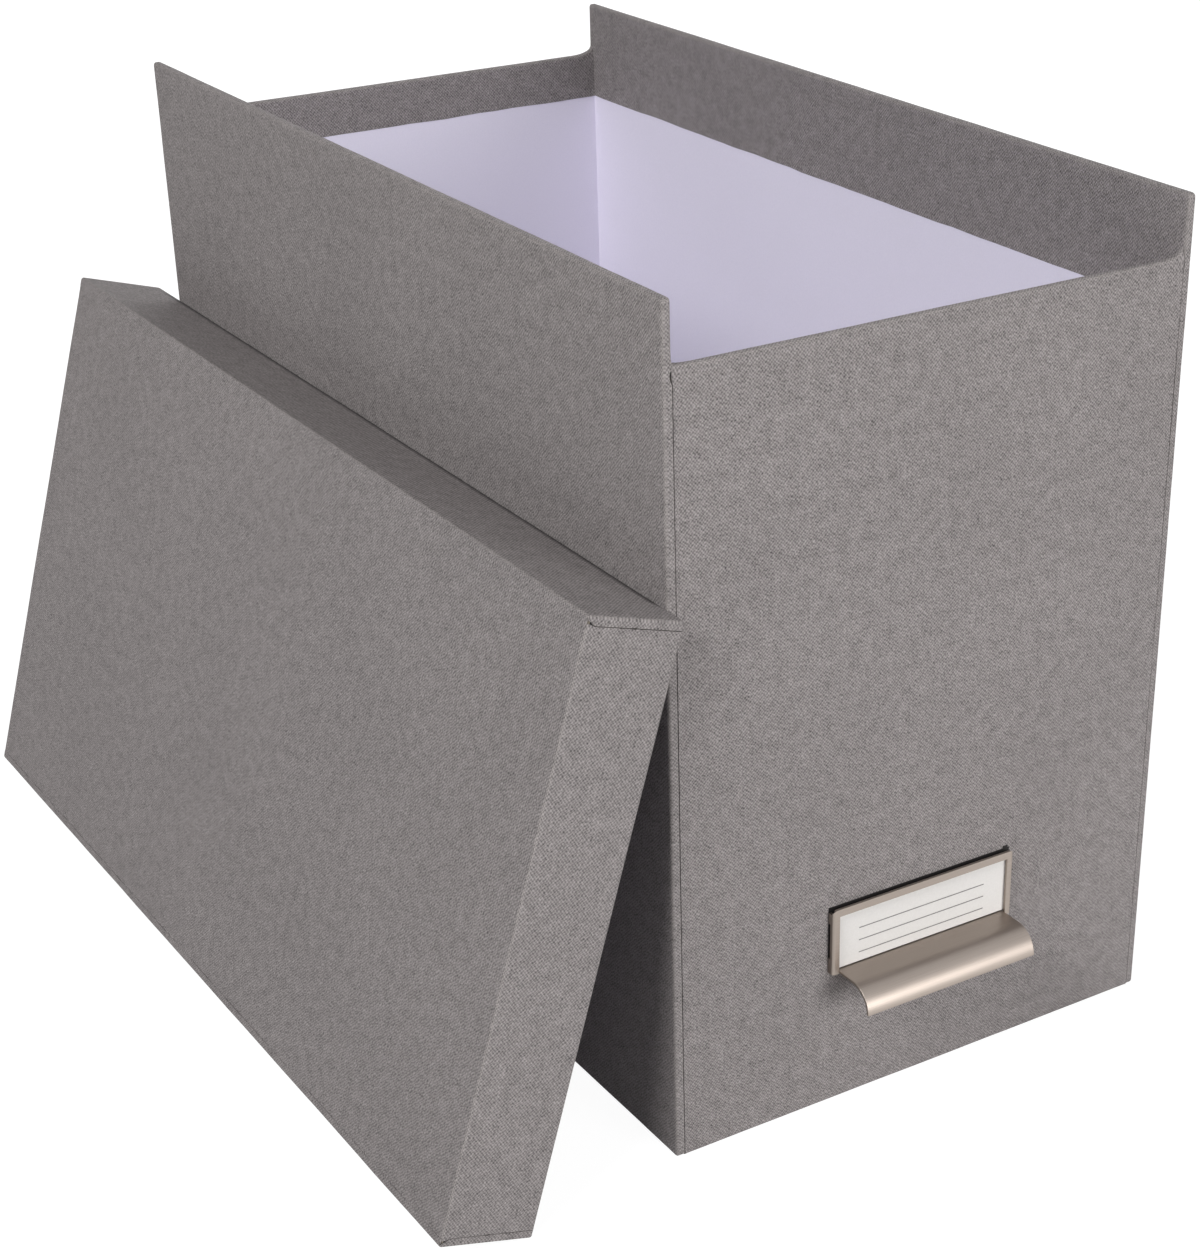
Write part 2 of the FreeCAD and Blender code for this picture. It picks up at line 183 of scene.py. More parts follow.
def smooth(value):
    """0 below 0, 1 above 1 and an easy curve between."""
    value = min(max(value, 0.0), 1.0)
    return value * value * (3 - 2 * value)


class Sheet:
    """A sheet that is laid out in cells and thickened at the end."""

    def __init__(self, name, thickness, place=TRAY):
        self.name, self.thickness, self.place = name, thickness, place
        self.points, self.outward, self.folded, self.cells, self.lookup = [], [], [], [], {}

    def spot(self, point, outward, folded):
        """Number of a point, which is shared by all cells that meet there."""
        key = tuple(round(c / (0.002 * MM)) for c in point)
        if key not in self.lookup:
            self.lookup[key] = len(self.points)
            self.points.append(Vector(point))
            self.outward.append(Vector(outward).normalized())
            self.folded.append(folded)
        return self.lookup[key]

    def grid(self, us, vs, place, wanted=None):
        """Cells between the stops. place(u, v) gives point, outward direction, fold amount and weave spot."""
        made = {}
        for u in us:
            for v in vs:
                made[u, v] = place(u, v)
        for u0, u1 in zip(us, us[1:]):
            for v0, v1 in zip(vs, vs[1:]):
                if wanted and not wanted((u0 + u1) / 2, (v0 + v1) / 2):
                    continue
                ring = [made[u0, v0], made[u1, v0], made[u1, v1], made[u0, v1]]
                face = [self.spot(*corner[:3]) for corner in ring]
                weave = [corner[3] for corner in ring]
                distinct = [k for k in range(4) if face[k] != face[k - 1]]
                if len(distinct) < 3:
                    continue
                face, weave = [face[k] for k in distinct], [weave[k] for k in distinct]
                a, b, c = (self.points[face[k]] for k in range(3))
                facing = (b - a).cross(c - a).dot(self.outward[face[0]] + self.outward[face[1]])
                if facing < 0:
                    face, weave = face[::-1], weave[::-1]
                self.cells.append((face, weave))

    def finish(self, material, body, slot, nodes, ripple=RIPPLE):
        """Turn the cells into a closed mesh with two sides and a rim."""
        count = len(self.points)
        for k in range(count):
            slow, quick = (noise.noise(self.points[k] * waves) for waves in (SLOW_WAVES, QUICK_WAVES))
            wave = slow + 0.5 * quick
            self.points[k] += self.outward[k] * wave * ripple
        back = [p - n * self.thickness for p, n in zip(self.points, self.outward)]
        faces, weaves, owners = [], [], {}
        for face, weave in self.cells:
            faces += [face, [k + count for k in reversed(face)]]
            weaves += [weave, weave[::-1]]
            for k in range(len(face)):
                owners[face[k - 1], face[k]] = (weave[k - 1], weave[k])
        for (a, b), (weave_a, weave_b) in owners.items():
            if (b, a) not in owners:
                faces.append([b, a, a + count, b + count])
                weaves.append([weave_b, weave_a, weave_a, weave_b])
        mesh = bpy.data.meshes.new(self.name)
        placed = [self.place @ p for p in self.points + back]
        mesh.from_pydata([(p.x, p.y, max(p.z, 0)) for p in placed], [], faces)
        layer = mesh.uv_layers.new(name="weave")
        flat = [c for weave in weaves for spot in weave for c in spot]
        layer.data.foreach_set("uv", flat)
        # fold holds rubbed wear where positive and painted contact shade where negative.
        fold = mesh.attributes.new("fold", "FLOAT", "POINT")
        fold.data.foreach_set("value", self.folded * 2)
        mesh.polygons.foreach_set("use_smooth", [True] * len(mesh.polygons))
        mesh.set_sharp_from_angle(angle=math.radians(50))
        mesh.materials.append(material)
        mesh.validate()
        return place_piece(self.name, mesh, body, nodes)


def add_object(name, data):
    """New object in the scene."""
    made = bpy.data.objects.new(name, data)
    bpy.context.scene.collection.objects.link(made)
    return made


def place_piece(name, mesh, body, nodes=()):
    """Make a piece that rides a body and the model's nodes that it replaces."""
    piece = add_object(name, mesh)
    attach(piece, body)
    if nodes:
        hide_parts(*nodes)
    return piece


# ------------ cloth over one open box

def is_tight(is_far, side):
    """The tray's front left corner is pulled tight: less cloth stands up there and the seam is nicked."""
    return side < 0 and not is_far


class ClothBox:
    """The cloth of one open box: long walls run the full length and end walls stand between.

    half holds half the width and length, and wall is a covered wall's thickness. Heights are those of
    the base, both tops and the turned-in cloth's lower edge. flap is how far the cloth turns under the
    base, or 0. Ears are the parts of the long walls above the end walls.
    """

    def __init__(self, half, wall, base, side_top, end_top, band, flap, fold):
        self.half, self.wall, self.base = half, wall, base
        self.side_top, self.end_top, self.band, self.flap, self.fold = side_top, end_top, band, flap, fold
        self.has_ears = side_top > end_top + MM

    def seam(self, z, is_nicked):
        """How far the seam strays towards the corner at a height, and how wide it gapes."""
        if self.has_ears:
            drop = self.end_top - z
            stray = smooth(drop / EAR_NICK["fade_in"])
            stray *= smooth((EAR_NICK["depth"] - drop) / EAR_NICK["fade_out"])
            stray *= 1 if is_nicked else EAR_NICK["elsewhere"]
            return EAR_NICK["stray"] * stray, SEAM_GAP + EAR_NICK["gape"] * stray
        nick = smooth(1 - z / LID_NICK["height"])
        tick = smooth(1 - abs(z - self.side_top / 2) / LID_NICK["tick"])
        gape = SEAM_GAP + LID_NICK["gape"] * nick + LID_NICK["tick_gape"] * tick
        return LID_NICK["stray"] * nick, gape

    def seam_heights(self):
        """Close stops over the parts of a seam that stray."""
        if self.has_ears:
            return even_stops(self.end_top - EAR_NICK["depth"], self.end_top, SEAM_CELL)
        middle = self.side_top / 2
        return stops(even_stops(self.base, self.base + 4 * MM, SEAM_CELL),
                     even_stops(middle - 1.2 * MM, middle + 1.2 * MM, SEAM_CELL))

    # Long walls.

    def press_side(self, p, is_far):
        """Press a flat point of the left wall's sheet over its folds.

        core is the nearest place inside the folds. over is how far the point is past it, in radii.
        """
        fx, fy, fz = self.fold
        x0, x1 = -self.half.x, -self.half.x + self.wall
        over = Vector((0, 0, 0))
        spread = Vector((fx, fy, fz))
        core = p.copy()
        if p.x < x0 + fx:
            over.x, core.x = (p.x - x0 - fx) / fx, x0 + fx
        elif p.x > x1 - fx + 1e-7 and p.z > self.base + 1e-7:
            between = smooth((self.half.y - self.wall - abs(p.y)) / CORNER_BLEND)
            clear = smooth((p.z - self.end_top) / EAR_BLEND) if self.has_ears else 0
            spread.x = fx * max(between, clear)
            over.x, core.x = min((p.x - x1 + fx) / fx, 1), x1 - spread.x
        edge = self.half.y - fy
        if abs(p.y) > edge:
            over.y, core.y = math.copysign((abs(p.y) - edge) / fy, p.y), math.copysign(edge, p.y)
        if p.z < self.base + fz:
            over.z, core.z = (p.z - self.base - fz) / fz, self.base + fz
        elif p.z > self.side_top - fz:
            over.z, core.z = (p.z - self.side_top + fz) / fz, self.side_top - fz
        turned = over.normalized()
        point = core + Vector([s * t for s, t in zip(spread, turned)])
        keen = spread.x / fx
        outward = Vector((turned.x, turned.y * keen, turned.z * keen)) if over.x > 0 else turned
        folded = sorted(abs(c) for c in turned)[1] * FOLD_RUB
        if not self.has_ears:
            # Painted contact shade: a dark band along the lid's mouth edge that rests on the tray's wall,
            # carried as a negative fold.
            mouth_shade = smooth((p.z - self.side_top + PAINTED_CONTACT_SHADE["depth"]) / PAINTED_CONTACT_SHADE["fade"])
            mouth_shade *= smooth((self.half.y - abs(p.y) - PAINTED_CONTACT_SHADE["from_end"]) / PAINTED_CONTACT_SHADE["end_fade"])
            folded = folded * smooth((self.side_top - p.z) / PAINTED_CONTACT_SHADE["rub_fade"]) - (0 if is_far else mouth_shade)
        if self.half.y - abs(p.y) < 1e-6 and (p.z < self.end_top or not self.has_ears):
            stray, gape = self.seam(p.z, is_tight(p.y > 0, 1 if is_far else -1))
            share = smooth((p.x - x0 - fx) / (self.wall - fx))
            point.x -= share * (stray + gape / 2)
        return point, outward, min(folded, 1.0)

    def lay_side(self, sheet, is_far):
        """Lay the sheet of one long wall: outside, ends, over the top, down to the band, and the base."""
        turn = -1 if is_far else 1
        x0, x1 = -self.half.x, -self.half.x + self.wall
        fx, fy, fz = self.fold
        y1 = self.half.y
        inner_y = y1 - self.wall
        heights = stops(
            fold_stops(self.base, fz, 1), fold_stops(self.side_top, fz, -1), self.seam_heights(),
            even_stops(self.base + fz, self.band), [self.band - BAND_LAP],
            even_stops(self.band, self.end_top, 3 * MM),
            even_stops(self.end_top, self.side_top - fz, 2 * MM) if self.has_ears else [self.end_top])
        lengths = stops(fold_stops(-y1, fy, 1), fold_stops(y1, fy, -1), even_stops(fy - y1, y1 - fy),
                        [-inner_y, inner_y, CORNER_BLEND - inner_y, inner_y - CORNER_BLEND])
        widths = stops(fold_stops(x0, fx, 1), fold_stops(x1, fx, -1))

        def put(x, y, z, weave=None):
            point, outward, folded = self.press_side(Vector((x, y, z)), is_far)
            if x > x1 - 1e-6 and z < self.band + 1e-6:
                point += self.band_edge(Vector((1, 0, 0)), z, y)
            if weave is None:
                round_corner = point.x - x0 + 2 * (y1 - abs(point.y))
                weave = (math.copysign(y1 + round_corner, y), point.z)
            point.x *= turn
            outward.x *= turn
            return point, outward, folded, weave

        sheet.grid(lengths, heights, lambda y, z: put(x0, y, z, (y, z)))
        for end in (-y1, y1):
            sheet.grid(widths, heights, lambda x, z, end=end: put(x, end, z))
        sheet.grid(widths, lengths, lambda x, y: put(x, y, self.side_top, (y, self.side_top + x - x0)))
        top = self.side_top + self.wall
        sheet.grid(lengths, [z for z in heights if z >= self.band - BAND_LAP - 1e-7],
                   lambda y, z: put(x1, y, z, (y, top + self.side_top - z)),
                   lambda y, z: abs(y) < inner_y or (self.has_ears and z > self.end_top - CLOTH))
        if self.flap:
            reach = x0 + self.flap
            sheet.grid(stops(widths, even_stops(x1, reach, 4 * MM)), lengths,
                       lambda x, y: put(x, y, self.base, (y, self.base - x + x0)),
                       lambda x, y: x < x1 or abs(y) < inner_y)
        else:
            sheet.grid(widths, lengths, lambda x, y: put(x, y, self.base, (y, self.base - x + x0)))

    def band_edge(self, inward, z, along):
        """Shift of the sheet's inner edge, which wanders a little and lies over the lining."""
        wander = noise.noise(Vector((along * 90, z * 3, self.half.x * 50)))
        return inward * BAND_STEP + Vector((0, 0, wander * BAND_WANDER - BAND_DROP))

    # End walls.

    def press_end(self, p, is_far):
        """Press a flat point of the front wall's sheet over its folds, with its gussets and seams."""
        _, fy, fz = END_FOLD
        y0, y1 = -self.half.y, -self.half.y + self.wall
        over, core = Vector((0, 0, 0)), p.copy()
        if p.y < y0 + fy:
            over.y, core.y = (p.y - y0 - fy) / fy, y0 + fy
        elif p.y > y1 - fy + 1e-7 and p.z > self.base + 1e-7:
            over.y, core.y = min((p.y - y1 + fy) / fy, 1), y1 - fy
        if p.z < self.base + fz:
            over.z, core.z = (p.z - self.base - fz) / fz, self.base + fz
        elif p.z > self.end_top - fz:
            over.z, core.z = (p.z - self.end_top + fz) / fz, self.end_top - fz
        turned = over.normalized() if over.length else Vector((0, 0, -1))
        point = core + turned * fy
        if not over.length:
            point = p.copy()
        folded = min(sorted(abs(c) for c in turned)[1] * FOLD_RUB, 1.0)
        from_ear = self.half.x - self.wall - abs(p.x)
        side = math.copysign(1, p.x)
        if self.has_ears and from_ear < GUSSET_WIDTH:
            rise = 1 - math.sqrt(max(0, 1 - (1 - from_ear / GUSSET_WIDTH) ** 2))
            rise *= GUSSET_TIGHT if is_tight(is_far, side) else 1
            lift = smooth((p.z - self.end_top + GUSSET_DEPTH) / GUSSET_DEPTH)
            point.z += GUSSET_RISE * rise * lift
            middle = y0 + self.wall / 2
            point.y += (middle - point.y) * GUSSET_PINCH * rise * smooth(lift * 1.4 - 0.4)
        if p.y < y0 + 1e-6:
            stray, gape = self.seam(p.z, is_tight(is_far, side))
            near = smooth(1 - from_ear / SEAM_REACH)
            point.x += side * near * (stray - gape / 2)
            point.y -= SEAM_LIP * smooth(1 - from_ear / LIP_WIDTH)
        return point, turned, folded

    def lay_end(self, sheet, is_far):
        """Lay the sheet of one end wall: under flap, outside, over the top and down to the band."""
        turn = -1 if is_far else 1
        _, fy, fz = END_FOLD
        y0, y1 = -self.half.y, -self.half.y + self.wall
        x1 = self.half.x - self.wall
        near = [x1 - d * MM for d in NEAR_EAR]
        widths = stops(near, [-x for x in near], even_stops(GUSSET_WIDTH - x1, x1 - GUSSET_WIDTH))
        heights = stops(
            fold_stops(self.base, fz, 1), fold_stops(self.end_top, fz, -1), self.seam_heights(),
            even_stops(self.base + fz, self.band), [self.band - BAND_LAP],
            even_stops(self.band, self.end_top - fz, 3 * MM))
        depths = stops(fold_stops(y0, fy, 1), fold_stops(y1, fy, -1))

        def put(x, y, z, weave):
            point, outward, folded = self.press_end(Vector((x, y, z)), is_far)
            if y > y1 - 1e-6 and self.base + 1e-6 < z < self.band + 1e-6:
                point += self.band_edge(Vector((0, 1, 0)), z, x)
            point.y *= turn
            outward.y *= turn
            return point, outward, folded, weave

        sheet.grid(widths, heights, lambda x, z: put(x, y0, z, (x, z)))
        sheet.grid(widths, depths, lambda x, y: put(x, y, self.end_top, (x, self.end_top + y - y0)))
        top = self.end_top + self.wall
        sheet.grid(widths, [z for z in heights if z >= self.band - BAND_LAP - 1e-7],
                   lambda x, z: put(x, y1, z, (x, top + self.end_top - z)))
        reach = y0 + self.flap if self.flap else y1
        under = stops(fold_stops(y0, fy, 1), even_stops(y0 + fy, reach, 4 * MM))
        sheet.grid(widths, under, lambda x, y: put(x, y, self.base, (x, self.base - y + y0)),
                   (lambda x, y: x1 - abs(x) > y - y1 + MM) if self.flap else None)

    def lay_seam_shade(self, body, place):
        """Painted shade: a near-black sheet under each upright seam, seen only through the seam's gap, where
        it stands in for the shadow in it.
        """
        sheet = Sheet(f"{body}_painted_shade_sheet", 0.02 * MM, place)
        x1 = self.half.x - self.wall
        heights = [self.base + MM, self.end_top - 0.7 * MM]
        for end in (-1, 1):
            depth = end * (self.half.y - SEAM_SHADE_DEPTH)
            for side in (-1, 1):
                sheet.grid([side * (x1 + d * MM) for d in (-0.7, 1.8)], heights,
                           lambda x, z: (Vector((x, depth, z)), Vector((0, end, 0)), 0.0, (x, z)))
        sheet.finish(PAINTED_SHADE, body, "stay_tape", [], 0)

    def lay_panel(self, sheet):
        """Lay the flat panel between the walls' folds."""
        x1, y1 = self.half.x - self.wall, self.half.y - self.wall
        flat = Vector((0, 0, -1))
        sheet.grid(even_stops(-x1, x1), even_stops(-y1, y1),
                   lambda x, y: (Vector((x, y, self.base)), flat, 0.0, (y, self.base - x - self.half.x)))


def cloth_box(prefix, place, names, band_node, flap):
    """One open box's cloth, sized from its nodes. names are those of its two long walls."""
    left_low, left_high = box_in(place, f"{prefix}_{names[0]}_cover")
    right_high = box_in(place, f"{prefix}_{names[1]}_cover")[1]
    front_high = box_in(place, f"{prefix}_front_cover")[1]
    board_low, board_high = box_in(place, f"{prefix}_{names[0]}_board")
    wall = board_high.x - board_low.x + 2 * CLOTH
    half = Vector(((right_high.x - left_low.x) / 2, (left_high.y - left_low.y) / 2, 0))
    band = box_in(place, band_node)[1].z
    return ClothBox(
        half, wall, base=left_low.z, side_top=left_high.z, end_top=front_high.z,
        band=band, flap=flap, fold=TRAY_FOLD if flap else END_FOLD)


# ------------ shader groups

def node(tree, kind, x, y, **values):
    """Add a node at x, y with some of its settings."""
    made = tree.nodes.new(kind)
    made.location = (x, y)
    for key, value in values.items():
        setattr(made, key, value)
    return made


def maths(tree, operation, x, y, a, b=None, c=None, clamp=False):
    """Output of one Math node at x, y. Each input is a number or another node's output."""
    made = node(tree, "ShaderNodeMath", x, y, operation=operation, use_clamp=clamp)
    for socket, value in zip(made.inputs, (a, b, c)):
        if isinstance(value, (int, float)):
            socket.default_value = value
        elif value is not None:
            tree.links.new(value, socket)
    return made.outputs[0]


def noise_at(tree, x, y, coordinates, scale, detail=2.0):
    """Output of a noise texture, 0 to 1."""
    made = node(tree, "ShaderNodeTexNoise", x, y)
    made.inputs["Scale"].default_value = scale
    made.inputs["Detail"].default_value = detail
    tree.links.new(coordinates, made.inputs["Vector"])
    return made.outputs["Fac"]


def mix_colours(tree, x, y, factor, a, b):
    """Output of a colour mix, from a to b. Each input is a value or another node's output."""
    made = node(tree, "ShaderNodeMix", x, y, data_type="RGBA")
    for socket, value in zip((made.inputs[0], made.inputs[6], made.inputs[7]), (factor, a, b)):
        if isinstance(value, bpy.types.NodeSocket):
            tree.links.new(value, socket)
        else:
            socket.default_value = value
    return made.outputs[2]


def new_group(name, inputs, outputs):
    """New shader group with its sockets, and its input and output nodes."""
    group = bpy.data.node_groups.new(name, "ShaderNodeTree")
    for label, kind, value in inputs:
        socket = group.interface.new_socket(name=label, in_out="INPUT", socket_type=kind)
        if value is not None:
            socket.default_value = value
    for label, kind in outputs:
        group.interface.new_socket(name=label, in_out="OUTPUT", socket_type=kind)
    return group, node(group, "NodeGroupInput", -900, 0), node(group, "NodeGroupOutput", 900, 0)


# How uneven the weave's tone is: cells per metre across and up the cloth, and their share of the tone.
UNEVEN_THREADS = (
    ((300, 1500, 0), 0.18),     # threads that run across
    ((1500, 300, 0), 0.18),     # threads that run up
    ((1300, 1300, 0), 0.95),    # single crossings
    ((240, 240, 0), 0.35),      # soft patches
)
CROSSING_SHARE = 0.52      # share of the over-and-under height in the tone
TONE_LIFT = 0.22           # added to the tone, so that its middle stays near half


def weave_group():
    """Plain weave: threads cross over and under on a square grid, each a little uneven."""
    group, given, out = new_group("plain_weave", (
        ("Spot", "NodeSocketVector", None), ("Thread Pitch", "NodeSocketFloat", 0.0006),
        ("Slub", "NodeSocketFloat", 0.5)), (("Height", "NodeSocketFloat"), ("Tone", "NodeSocketFloat")))
    links = group.links
    split = node(group, "ShaderNodeSeparateXYZ", -700, 200)
    links.new(given.outputs["Spot"], split.inputs[0])
    wander = noise_at(group, -700, -100, given.outputs["Spot"], 620.0, 1.5)
    drift = maths(group, "MULTIPLY", -500, -100, maths(group, "SUBTRACT", -600, -100, wander, 0.5),
                  given.outputs["Slub"])
    threads = []
    for row, axis in enumerate("XY"):
        count = maths(group, "DIVIDE", -500, 250 - 200 * row, split.outputs[axis],
                      given.outputs["Thread Pitch"])
        turn = maths(group, "MULTIPLY", -300, 250 - 200 * row,
                     maths(group, "ADD", -400, 250 - 200 * row, count, drift), math.pi)
        threads.append(maths(group, "SINE", -200, 250 - 200 * row, turn))
    crossing = maths(group, "MULTIPLY", 0, 200, *threads)
    height = maths(group, "MULTIPLY_ADD", 150, 200, crossing, 0.5, 0.5)
    links.new(height, out.inputs["Height"])
    tone = maths(group, "MULTIPLY", 300, 0, height, CROSSING_SHARE)
    for row, (stretch, share) in enumerate(UNEVEN_THREADS):
        level = -200 - 200 * row
        threads_along = node(group, "ShaderNodeVectorMath", -300, level, operation="MULTIPLY")
        links.new(given.outputs["Spot"], threads_along.inputs[0])
        threads_along.inputs[1].default_value = stretch
        patch = noise_at(group, -150, level, threads_along.outputs[0], 1.0, 2.0)
        uneven = maths(group, "SUBTRACT", 0, level, patch, 0.5)
        tone = maths(group, "MULTIPLY_ADD", 150, level, uneven, share, tone)
    raised = maths(group, "ADD", 500, 0, tone, TONE_LIFT, clamp=True)
    links.new(raised, out.inputs["Tone"])
    return group


def patina_group():
    """Slow, soft unevenness of a surface: cloudy tone and a little dust in patches."""
    group, given, out = new_group("soft_patina", (
        ("Spot", "NodeSocketVector", None), ("Cloud Size", "NodeSocketFloat", 0.05),
        ("Strength", "NodeSocketFloat", 0.06)), (("Shade", "NodeSocketFloat"), ("Dust", "NodeSocketFloat")))
    links = group.links
    scaled = node(group, "ShaderNodeVectorMath", -600, 0, operation="DIVIDE")
    links.new(given.outputs["Spot"], scaled.inputs[0])
    links.new(given.outputs["Cloud Size"], scaled.inputs[1])
    cloud = noise_at(group, -400, 100, scaled.outputs[0], 1.0, 4.0)
    shade = maths(group, "MULTIPLY", -100, 100, maths(group, "SUBTRACT", -250, 100, cloud, 0.5),
                  given.outputs["Strength"])
    links.new(maths(group, "ADD", 100, 100, shade, 1.0), out.inputs["Shade"])
    specks = noise_at(group, -400, -200, scaled.outputs[0], 36.0, 3.0)
    sparse = node(group, "ShaderNodeMapRange", -150, -200)
    sparse.inputs["From Min"].default_value = 0.62
    sparse.inputs["From Max"].default_value = 0.8
    links.new(specks, sparse.inputs["Value"])
    links.new(sparse.outputs[0], out.inputs["Dust"])
    return group


def brushed_group():
    """Fine lines drawn along X by brushing, for satin metal."""
    group, given, out = new_group("brushed_lines", (
        ("Spot", "NodeSocketVector", None), ("Stretch", "NodeSocketVector", (60.0, 5000.0, 5000.0))),
        (("Line", "NodeSocketFloat"),))
    stretched = node(group, "ShaderNodeVectorMath", -500, 0, operation="MULTIPLY")
    group.links.new(given.outputs["Spot"], stretched.inputs[0])
    group.links.new(given.outputs["Stretch"], stretched.inputs[1])
    group.links.new(noise_at(group, -300, 0, stretched.outputs[0], 1.0, 3.0), out.inputs["Line"])
    return group


WEAVE, PATINA, BRUSHED = weave_group(), patina_group(), brushed_group()


def placed_group(tree, group, x, y, spot, **values):
    """Outputs of a group placed in a material, with its settings."""
    made = node(tree, "ShaderNodeGroup", x, y, node_tree=group)
    tree.links.new(spot, made.inputs["Spot"])
    for key, value in values.items():
        made.inputs[key.replace("_", " ")].default_value = value
    return made.outputs


def new_material(name, roughness, metallic=0.0, specular=0.5):
    """New material, its tree and its main shader."""
    material = bpy.data.materials.new(name)
    material.use_nodes = True
    tree = material.node_tree
    shader = tree.nodes["Principled BSDF"]
    shader.inputs["Roughness"].default_value = roughness
    shader.inputs["Metallic"].default_value = metallic
    shader.inputs["Specular IOR Level"].default_value = specular
    return material, tree, shader


def bump(tree, shader, height, strength, distance):
    """Give a shader small relief from a height between 0 and 1."""
    made = node(tree, "ShaderNodeBump", -200, -400)
    made.inputs["Strength"].default_value = strength
    made.inputs["Distance"].default_value = distance
    tree.links.new(height, made.inputs["Height"])
    tree.links.new(made.outputs[0], shader.inputs["Normal"])


def shade_with(tree, shader, colour, shade):
    """Colour a shader, made lighter or darker in clouds by a factor near 1."""
    shaded = node(tree, "ShaderNodeVectorMath", -100, 100, operation="SCALE")
    tree.links.new(colour, shaded.inputs[0])
    tree.links.new(shade, shaded.inputs["Scale"])
    tree.links.new(shaded.outputs[0], shader.inputs["Base Color"])


def tinted(colour):
    """A colour given as it looks, 0 to 255, made linear."""
    return tuple(((c / 255 + 0.055) / 1.055) ** 2.4 if c > 10 else c / 255 / 12.92 for c in colour) + (1.0,)


def cloth_material(name, deep, light, rubbed):
    """Grey book cloth: plain weave, rubbed a little lighter where it folds, and darkened with painted shade
    where a lid's edge rests.

    The attribute fold runs from -1, painted contact shade, through 0, flat cloth, to 1, a sharp fold.
    """
    material, tree, shader = new_material(name, 0.82, specular=0.25)
    sheet_spot = node(tree, "ShaderNodeUVMap", -1200, 200, uv_map="weave").outputs[0]
    space = node(tree, "ShaderNodeTexCoord", -1200, -100).outputs["Object"]
    weave = placed_group(tree, WEAVE, -900, 200, sheet_spot, Thread_Pitch=0.56 * MM, Slub=1.6)
    patina = placed_group(tree, PATINA, -900, -100, space, Cloud_Size=0.045, Strength=0.2)
    fold = node(tree, "ShaderNodeAttribute", -900, -350, attribute_name="fold").outputs["Fac"]
    cloth = mix_colours(tree, -600, 200, weave["Tone"], tinted(deep), tinted(light))
    rub = maths(tree, "MULTIPLY", -750, -250, weave["Tone"], 0.4)
    wear = maths(tree, "MULTIPLY", -600, -250, fold, rub, clamp=True)
    # Painted shade: a negative fold turns the cloth near black along the lid's mouth edge.
    mouth_shade = maths(tree, "MULTIPLY", -600, -400, fold, -0.9, clamp=True)
    worn = mix_colours(tree, -450, 150, wear, cloth, tinted(rubbed))
    mouth_shaded = mix_colours(tree, -330, 150, mouth_shade, worn, tinted((30, 27, 27)))
    dust = maths(tree, "MULTIPLY", -400, -50, patina["Dust"], 0.12)
    dusty = mix_colours(tree, -220, 100, dust, mouth_shaded, tinted((190, 186, 180)))
    shade_with(tree, shader, dusty, patina["Shade"])
    bump(tree, shader, weave["Height"], 0.55, 0.12 * MM)
    return material


def paper_material(name, colour, fibre, roughness=0.7, grain=0.02):
    """Smooth paper or board with short fibres and a faint cloudiness. grain is their relief in mm."""
    material, tree, shader = new_material(name, roughness, specular=0.3)
    space = node(tree, "ShaderNodeTexCoord", -1000, 0).outputs["Object"]
    patina = placed_group(tree, PATINA, -700, 100, space, Cloud_Size=0.08, Strength=0.07)
    fibres = noise_at(tree, -700, -150, space, 1800.0, 3.0)
    mixed = mix_colours(tree, -450, 50, fibres, tinted(colour), tinted(fibre))
    shade_with(tree, shader, mixed, patina["Shade"])
    bump(tree, shader, fibres, 0.3, grain * MM)
    return material


def nickel_material():
    """Satin nickel, brushed along its length, a little duller in patches."""
    material, tree, shader = new_material("satin_nickel", 0.3, metallic=1.0)
    space = node(tree, "ShaderNodeTexCoord", -1000, 0).outputs["Object"]
    line = placed_group(tree, BRUSHED, -700, 100, space)["Line"]
    patina = placed_group(tree, PATINA, -700, -150, space, Cloud_Size=0.012, Strength=0.25)
    tree.links.new(mix_colours(tree, -400, 100, line, tinted((148, 137, 128)), tinted((164, 154, 146))),
                   shader.inputs["Base Color"])
    brushed = maths(tree, "MULTIPLY_ADD", -400, -100, line, 0.08, 0.37)
    rough = maths(tree, "MULTIPLY", -250, -100, brushed, patina["Shade"])
    tree.links.new(rough, shader.inputs["Roughness"])
    bump(tree, shader, line, 0.05, 0.02 * MM)
    return material


CLOTH_GREY = cloth_material("book_cloth", (65, 62, 62), (180, 173, 172), (160, 154, 149))
LINING_WHITE = paper_material("lining_paper", (231, 227, 243), (241, 237, 250))
GREYBOARD = paper_material("greyboard", (120, 112, 102), (142, 134, 122), 0.9, 0.05)
# Corner tape on the stays: real tape, coloured near black as painted shade that shows through the seams and
# nicks.
SHADE_TAPE = paper_material("corner_tape_shade", (44, 40, 37), (58, 53, 48), 0.8, 0.03)
# Near-black painted shade, for the seam gaps and the gap behind the label holder's frame.
PAINTED_SHADE = paper_material("painted_shade_sheet", (22, 20, 19), (34, 31, 30), 0.7, 0.03)
CARD_STOCK = paper_material("card_stock", (218, 215, 212), (230, 227, 224), 0.55)
PRINT_GREY = paper_material("printed_rule", (120, 118, 116), (132, 130, 128), 0.6)
NICKEL = nickel_material()


# ------------ carried-over solids

for label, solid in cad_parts.items():
    finish = GREYBOARD if label.endswith("_board") else SHADE_TAPE if label.endswith("_stay") else None
    if finish:
        solid.data.materials.clear()
        solid.data.materials.append(finish)


# ------------ tray and lid

def lay_tray():
    """Cloth over the tray's four walls, with flaps under its base."""
    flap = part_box("tray_front_cover")[1].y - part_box("tray_front_cover")[0].y
    box = cloth_box("tray", TRAY, ("left", "right"), "tray_front_lining", flap)
    for part in ("left", "right", "front", "back"):
        sheet = Sheet(f"tray_{part}_cloth", CLOTH)
        lay = box.lay_side if part in ("left", "right") else box.lay_end
        lay(sheet, part in ("right", "back"))
        sheet.finish(CLOTH_GREY, "tray", "cover_paper", [f"tray_{part}_cover"])
    box.lay_seam_shade("tray", TRAY)


